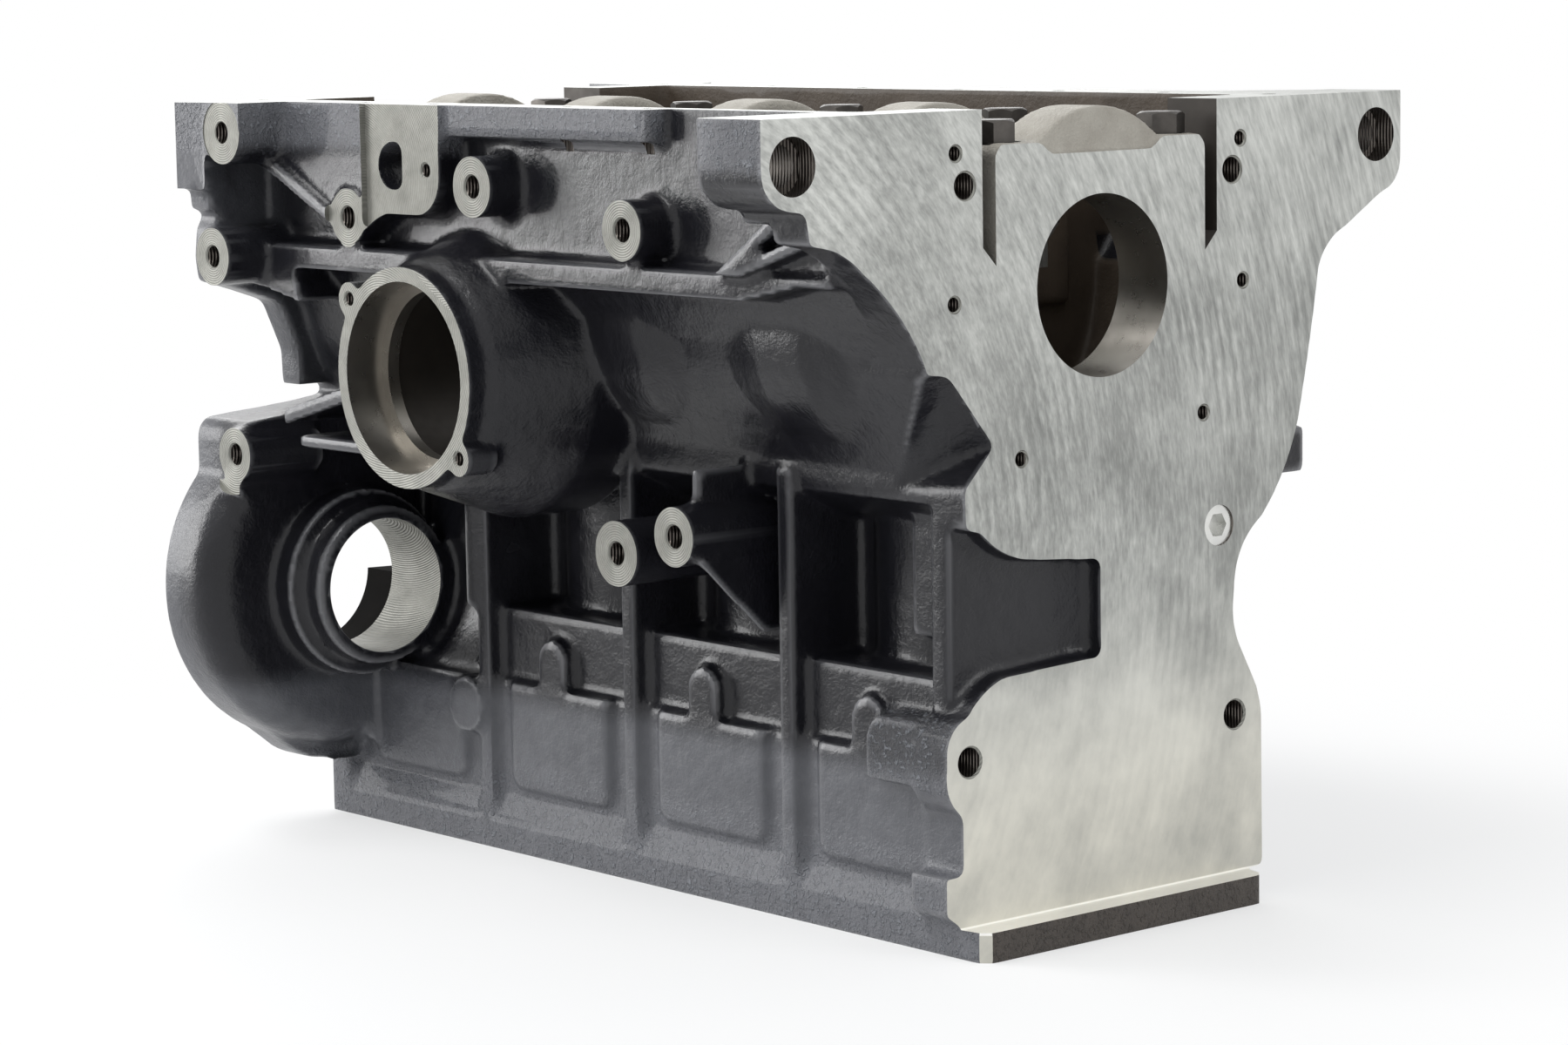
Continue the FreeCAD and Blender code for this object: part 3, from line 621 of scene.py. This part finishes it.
def corner_strips(solid):
    size = Matrix.Diagonal((0.010, 0.012, 0.030, 1))
    for side in (-1, 1):
        slant = Matrix.Rotation(math.radians(45 * side), 4, "Z")
        middle = Vector((192, side * 69, 3)) + slant @ Vector((3.5, 0, 0))
        bmesh.ops.create_cube(solid, size=1, matrix=Matrix.Translation(middle / 1000) @ slant @ size)


def drillings(solid):
    for mouth, inward, radius, depth in holes:
        inward = Vector(inward)
        rod(solid, Vector(mouth) - inward * 4, Vector(mouth) + inward * depth, radius, 32)


def countersinks(solid):
    for mouth, inward, radius, depth in holes:
        if inward in (into_deck, into_rail) or radius > 6:
            continue
        inward = Vector(inward)
        rod(solid, Vector(mouth) - inward * 0.5, Vector(mouth) + inward * 0.9, radius + 1.2, 32, radius - 0.2)


def wide_holes(solid):
    for side in (-1, 1):
        y, z = side * wing_hole[0], wing_hole[1]
        rod(solid, (face_x + 2, y, z), (face_x - 8, y, z), 9.85, 48)
    for x, way in ((face_x, 1), (front_x, -1)):
        rod(solid, (x + way * 2, *gallery), (x - way * 9, *gallery), gallery_seat, 48)


def plug_seats(solid):
    for x in cylinder_x:
        rod(solid, (x, core_plug_seat_y, core_plug_z), (x, 69, core_plug_z), core_plug_radius, 64)


def cylinder_bores(solid):
    for x in cylinder_x:
        rod(solid, (x, 0, -4), (x, 0, 159), cylinder_bore, 96)


def coolant_slots(solid):
    for x in cylinder_x:
        for side in (-1, 1):
            block(solid, (x - 11, side * coolant_y - 4, -4), (x + 11, side * coolant_y + 4, 60))


def along_crank(radius):
    return lambda solid: rod(solid, (-200, 0, crank_z), (190, 0, crank_z), radius, 128)


def pump_hole(radius, start, end):
    return lambda solid: rod(solid, (start, *pump), (end, *pump), radius, 96)


def ring_bore(solid):
    x, z = breather
    rod(solid, (x, -140, z), (x, -118, z), breather_bore, 96)


def throat(radius, start, end):
    """The round way into the crankcase. A bearing wall takes a piece off its rear side."""
    outline = [(min(x, -18.5), z) for x, z in circle(breather, radius, 0, 356.25, 96)]
    return lambda solid: prism(solid, outline, 1, start, end)


def volute(solid):
    """The curved wall that leads the coolant out of the pump chamber."""
    outline = circle(pump, 28, -78, -2, 17) + circle(pump, pump_chamber + 3, -2, -78, 17)
    prism(solid, outline, 0, -190, -170)


combined(casting, "DIFFERENCE", milled_faces, milled)
combined(casting, "DIFFERENCE", level_faces, milled)
combined(casting, "DIFFERENCE", side_faces, faced)
combined(casting, "DIFFERENCE", corner_pad, paint)
combined(casting, "DIFFERENCE", boss_faces, faced)
combined(casting, "DIFFERENCE", corner_strips, milled)
combined(casting, "DIFFERENCE", lambda solid: prism(solid, cap_gap, 0, -200, 190), slot_shade_iron)
combined(casting, "DIFFERENCE", along_crank(main_bore), bored)
combined(casting, "DIFFERENCE", cylinder_bores, bored)
combined(casting, "DIFFERENCE", coolant_slots, paint)
combined(casting, "DIFFERENCE", pump_hole(pump_chamber, -200, -171), bored)
combined(casting, "DIFFERENCE", pump_hole(pump_bore, -172, -137), faced)
combined(casting, "DIFFERENCE", ring_bore, bored)
combined(casting, "DIFFERENCE", throat(breather_throat, -119, -113), bored)
combined(casting, "DIFFERENCE", throat(breather_throat + 2, -113.01, -60), slot_shade_iron)
combined(casting, "UNION", volute, core_skin)
combined(casting, "DIFFERENCE", wide_holes, drilled)
combined(casting, "DIFFERENCE", plug_seats, bored)
combined(casting, "DIFFERENCE", countersinks, faced)
combined(casting, "DIFFERENCE", drillings, drilled)
shaded(casting.data, 32)
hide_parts("cylinder_block")
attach(casting, "root")


# Main bearing caps
# Five iron caps, cast with a half moon on top, milled on both ends and bored in line with the block.
# The half moon keeps its cast skin, and each bolt stands in a small spot face.
cap_top = 277
bolt_y = 41
cap_iron = Finish("cap_iron", Metallic=0.35)
cap_iron.give(
    Base_Color=cap_iron.blend(cap_iron.noise(70, 4), (0.22, 0.20, 0.17, 1), (0.46, 0.44, 0.39, 1)),
    Roughness=0.5 + 0.2 * cap_iron.noise(200),
    Normal=cap_iron.bump(cap_iron.noise(900, 3) + 0.5 * cap_iron.noise(200), 0.0005),
)
moon_edge = [(-60, 277.3), (-30, 277.3), (-24, 272.8), (24, 272.8), (30, 277.3), (60, 277.3), (60, 300),
             (-60, 300)]
for number, (low, high) in enumerate(cap_places, 1):

    def cap_stock(at):
        x, y, z = 0, 0, 0
        if near(at.x, low):
            x = -stock
        if near(at.x, high):
            x = stock
        if near(at.z, crank_z):
            z = -stock
        if near(at.z, cap_top):
            z = 0.8
        return x, y, z

    def moon_sides(solid):
        prism(solid, moon_edge, 0, low - 10, low + 1.3)
        prism(solid, moon_edge, 0, high - 1.3, high + 10)

    def cap_ends(solid):
        block(solid, (low - 10, -60, 200), (low, 60, 300))
        block(solid, (high, -60, 200), (high + 10, 60, 300))

    def spot_faces(solid):
        for side in (-1, 1):
            middle = ((low + high) / 2, side * bolt_y)
            rod(solid, (*middle, cap_top), (*middle, 285), 9.8, 48)

    name = "main_bearing_cap_%d" % number
    cap = blank(name, name + "_cast", cap_stock)
    combined(cap, "UNION", lambda solid: rod(solid, (low + 0.1, 0, crank_z), (high - 0.1, 0, crank_z), 34, 48))
    combined(cap, "DIFFERENCE", moon_sides)
    changed(cap, "REMESH", mode="VOXEL", voxel_size=0.0012)
    changed(cap, "SMOOTH", factor=0.5, iterations=4)
    changed(cap, "DECIMATE", ratio=0.25)
    cap.data.materials.clear()
    cap.data.materials.append(cap_iron.material)
    combined(cap, "DIFFERENCE", cap_ends, milled)
    combined(cap, "DIFFERENCE", lambda solid: block(solid, (low - 10, -70, 190), (high + 10, 70, crank_z)), milled)
    combined(cap, "DIFFERENCE", spot_faces, faced)
    combined(cap, "DIFFERENCE",
             lambda solid: rod(solid, (low - 5, 0, crank_z), (high + 5, 0, crank_z), main_bore, 128), bored)
    shaded(cap.data, 32)
    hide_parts(name)
    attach(cap, "root")


# Main cap bolts
# Ten hexagon bolts of blackened steel. The heads have a turned chamfer and a washer face, and they
# clamp the caps.
across_flats = 15.0
head_height = 8.5
bolt_steel = Finish("bolt_steel", Metallic=0.85)
bolt_steel.give(
    Base_Color=bolt_steel.blend(bolt_steel.noise(160, 4), (0.035, 0.033, 0.032, 1), (0.12, 0.11, 0.10, 1)),
    Roughness=0.3 + 0.2 * bolt_steel.noise(500),
)


def turned_loops(profile, count, place):
    """One loop for each radius and height of a profile, as a lathe would turn it."""
    loops = []
    for radius, height in profile:
        loops.append([place(x, y, height) for x, y in circle((0, 0), radius, 0, 360 - 360 / count, count)])
    return loops


head_profile = [(7.3, 0), (7.3, 0.8), (9, 0.8), (9, head_height - 1.3), (7.0, head_height)]
hexagon = circle((0, 0), across_flats / math.sqrt(3), 0, 300, 6)
head_mesh = bpy.data.meshes.new("bolt_head")
head = placed("bolt_head", head_mesh)
shape = bmesh.new()
prism(shape, hexagon, 2, 0, head_height)
shape.to_mesh(head_mesh)
shape.free()
head_mesh.materials.append(bolt_steel.material)
combined(head, "INTERSECT",
         lambda solid: skin(solid, turned_loops(head_profile, 48, lambda x, y, z: (x, y, z))), bolt_steel)

shape = bmesh.new()
for low, high in cap_places:
    for side in (-1, 1):
        before = len(shape.verts)
        shape.from_mesh(head.data)
        shape.verts.ensure_lookup_table()
        middle = Vector(((low + high) / 2, side * bolt_y, cap_top)) / 1000
        tightened = Matrix.Rotation(math.radians(17 * side + low), 4, "Z")
        for vertex in shape.verts[before:]:
            vertex.co = middle + tightened @ vertex.co
bolt_mesh = bpy.data.meshes.new("cap_bolts")
shape.to_mesh(bolt_mesh)
shape.free()
bolt_mesh.materials.append(bolt_steel.material)
bpy.data.objects.remove(head)
bolts = placed("cap_bolts", bolt_mesh)
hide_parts("main_cap_bolts")
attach(bolts, "root")


# Core plugs and oil gallery plugs
# The core plugs are steel cups pressed into the far water jacket wall. The gallery plugs are turned
# steel with a hexagon socket, screwed in below the face at both ends.
plug_steel = Finish("plug_steel", Metallic=0.95)
plug_steel.give(
    Base_Color=plug_steel.blend(plug_steel.noise(120, 4), (0.50, 0.51, 0.50, 1), (0.80, 0.80, 0.77, 1)),
    Roughness=0.2 + 0.2 * plug_steel.noise(400),
)
nodes["oil_gallery_plugs"].material_slots[0].material = plug_steel.material

cup_profile = [(12.2, 61.3), (13.4, 61.7), (14.1, 62.7), (14.6, 63.4), (15.3, 63.5), (15.9, 63.0),
               (15.98, 62.4), (15.98, core_plug_seat_y)]
shape = bmesh.new()
for plug_x in cylinder_x:
    skin(shape, turned_loops(cup_profile, 60, lambda x, z, y: (plug_x + x, y, core_plug_z + z)))
cup_mesh = bpy.data.meshes.new("pressed_cups")
shape.to_mesh(cup_mesh)
shape.free()
cup_mesh.materials.append(plug_steel.material)
shaded(cup_mesh, 40)
cups = placed("pressed_cups", cup_mesh)
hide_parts("core_plugs")
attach(cups, "root")
